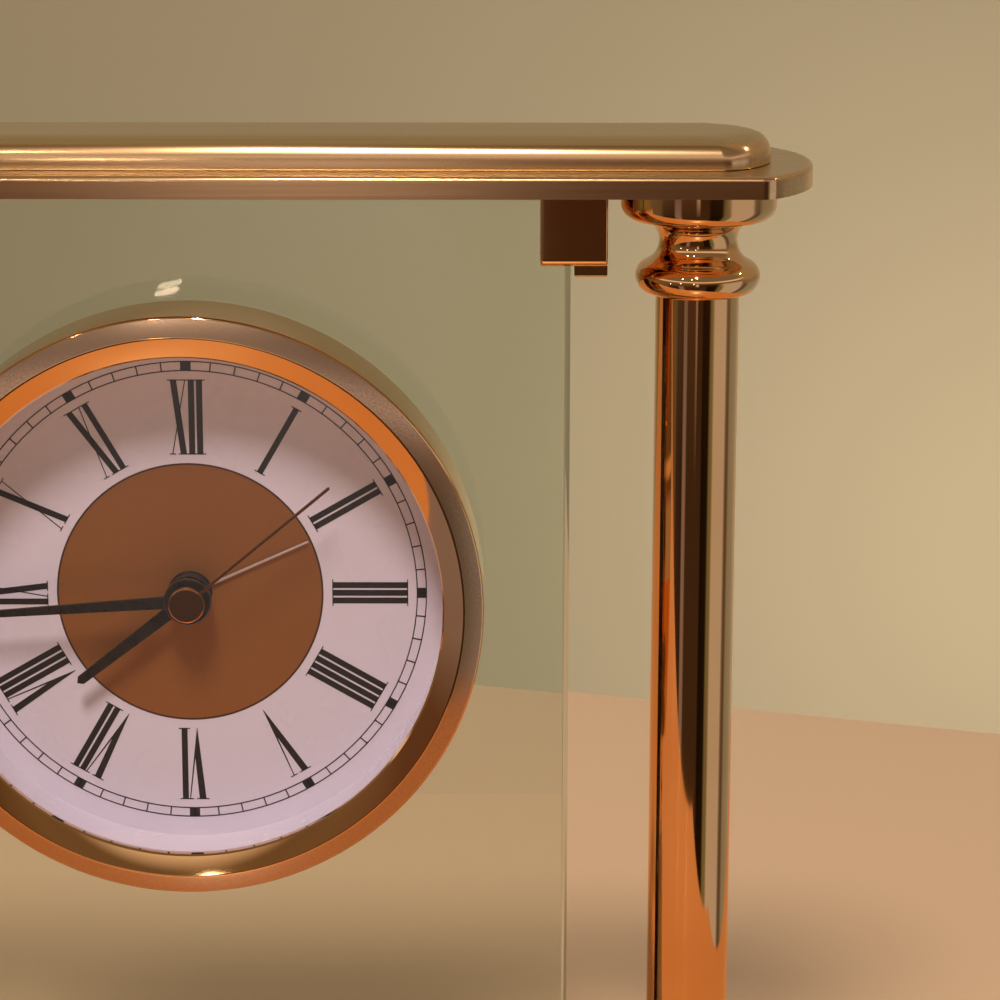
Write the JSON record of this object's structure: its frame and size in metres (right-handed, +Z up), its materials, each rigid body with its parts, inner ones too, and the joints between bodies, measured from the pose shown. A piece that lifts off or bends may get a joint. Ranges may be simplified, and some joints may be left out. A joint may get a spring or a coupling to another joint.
{
  "type": "mantel clock",
  "caption": "Mantel clock: stepped brass plates on turned columns carry a glass panel with a round quartz insert set in it; each hand turns through its gear train.",
  "frame": {"origin": "middle of the felt's underside, under the middle of the clock", "axes": "+Z up, -Y towards the viewer who reads the dial, +X to that viewer's right"},
  "size_m": [0.201, 0.0456, 0.1783],
  "materials": {
    "felt": "green felt sheet",
    "satin_brass": "satin brushed along its length",
    "polished_brass": "polished and lacquered, slightly browned",
    "zinc_steel": "zinc plated",
    "tinted_glass": "float glass with polished edges",
    "clear_glass": "flat mineral glass",
    "soft_vinyl": "clear soft vinyl",
    "black_rubber": "matte moulded rubber",
    "white_plastic": "moulded",
    "white_dial": "printed matt dial",
    "black_plastic": "moulded, fine texture",
    "green_laminate": "solder mask",
    "stator_iron": "stamped soft iron",
    "copper_wire": "enamelled winding wire",
    "battery_sleeve": "plain plastic sleeve on steel",
    "gear_plastic": "moulded, natural colour",
    "drawn_brass": "machined",
    "black_hands": "black lacquer",
    "bronze_hand": "bronze coloured lacquer"
  },
  "bodies": {
    "clock": {"felt_pad": "felt", "base_plinth": "satin_brass", "top_cap": "satin_brass", "base_plate": "polished_brass", "top_plate": "polished_brass", "lower_capital_left": "polished_brass", "lower_capital_right": "polished_brass", "column_left": "polished_brass", "column_right": "polished_brass", "upper_capital_left": "polished_brass", "upper_capital_right": "polished_brass", "clip_upper_left": "polished_brass", "clip_upper_right": "polished_brass", "clip_lower_left": "polished_brass", "clip_lower_right": "polished_brass", "bezel": "polished_brass", "plinth_screws": "zinc_steel", "tie_rod_left": "zinc_steel", "tie_rod_right": "zinc_steel", "lower_nuts": "zinc_steel", "upper_nuts": "zinc_steel", "cap_screws": "zinc_steel", "clip_screws": "zinc_steel", "movement_screws": "zinc_steel", "cover_screws": "zinc_steel", "contact_positive": "zinc_steel", "contact_negative": "zinc_steel", "quartz_can": "zinc_steel", "glass_panel": "tinted_glass", "crystal": "clear_glass", "clip_liners": "soft_vinyl", "gasket": "black_rubber", "case": "white_plastic", "dial_surround": "white_plastic", "dial": "white_dial", "clamp_ring": "black_plastic", "movement_base": "black_plastic", "movement_cover": "black_plastic", "circuit_board": "green_laminate", "stator": "stator_iron", "drive_coil": "copper_wire", "battery": "battery_sleeve"},
    "minute": {"minute_hand": "black_hands", "cannon_pinion": "drawn_brass"},
    "hour": {"hour_hand": "black_hands", "hour_wheel": "gear_plastic"},
    "motion": {"motion_wheel": "gear_plastic", "setting_knob": "black_plastic"},
    "second": {"second_hand": "bronze_hand", "seconds_wheel": "gear_plastic"},
    "third": {"third_wheel": "gear_plastic"},
    "centre": {"centre_wheel": "drawn_brass"},
    "step": {"intermediate_wheel": "gear_plastic"},
    "rotor": {"rotor": "black_plastic"}
  },
  "joints": [
    {"name": "minute_turn", "type": "hinge", "parent": "clock", "child": "minute", "pos_m": [0, 0, 0.10765], "axis": [0, 1, 0], "continuous": true},
    {"name": "hour_turn", "type": "hinge", "parent": "clock", "child": "hour", "pos_m": [0, 0, 0.10765], "axis": [0, 1, 0], "continuous": true},
    {"name": "motion_turn", "type": "hinge", "parent": "clock", "child": "motion", "pos_m": [0, 0, 0.11965], "axis": [0, 1, 0], "continuous": true},
    {"name": "second_turn", "type": "hinge", "parent": "clock", "child": "second", "pos_m": [0, 0, 0.10765], "axis": [0, 1, 0], "continuous": true},
    {"name": "third_turn", "type": "hinge", "parent": "clock", "child": "third", "pos_m": [-0.00998, 0, 0.11341], "axis": [0, 1, 0], "continuous": true},
    {"name": "centre_turn", "type": "hinge", "parent": "clock", "child": "centre", "pos_m": [0, 0, 0.10765], "axis": [0, 1, 0], "continuous": true},
    {"name": "step_turn", "type": "hinge", "parent": "clock", "child": "step", "pos_m": [0.01081, 0, 0.11158], "axis": [0, 1, 0], "continuous": true},
    {"name": "rotor_turn", "type": "hinge", "parent": "clock", "child": "rotor", "pos_m": [0.01704, 0, 0.10798], "axis": [0, 1, 0], "continuous": true}
  ],
  "couplings": [
    {"joint": "hour_turn", "follows": "minute_turn", "ratio": 0.083333},
    {"joint": "motion_turn", "follows": "minute_turn", "ratio": -0.33333},
    {"joint": "third_turn", "follows": "second_turn", "ratio": -0.13333},
    {"joint": "centre_turn", "follows": "second_turn", "ratio": 0.016667},
    {"joint": "step_turn", "follows": "second_turn", "ratio": -6},
    {"joint": "rotor_turn", "follows": "second_turn", "ratio": 30}
  ]
}
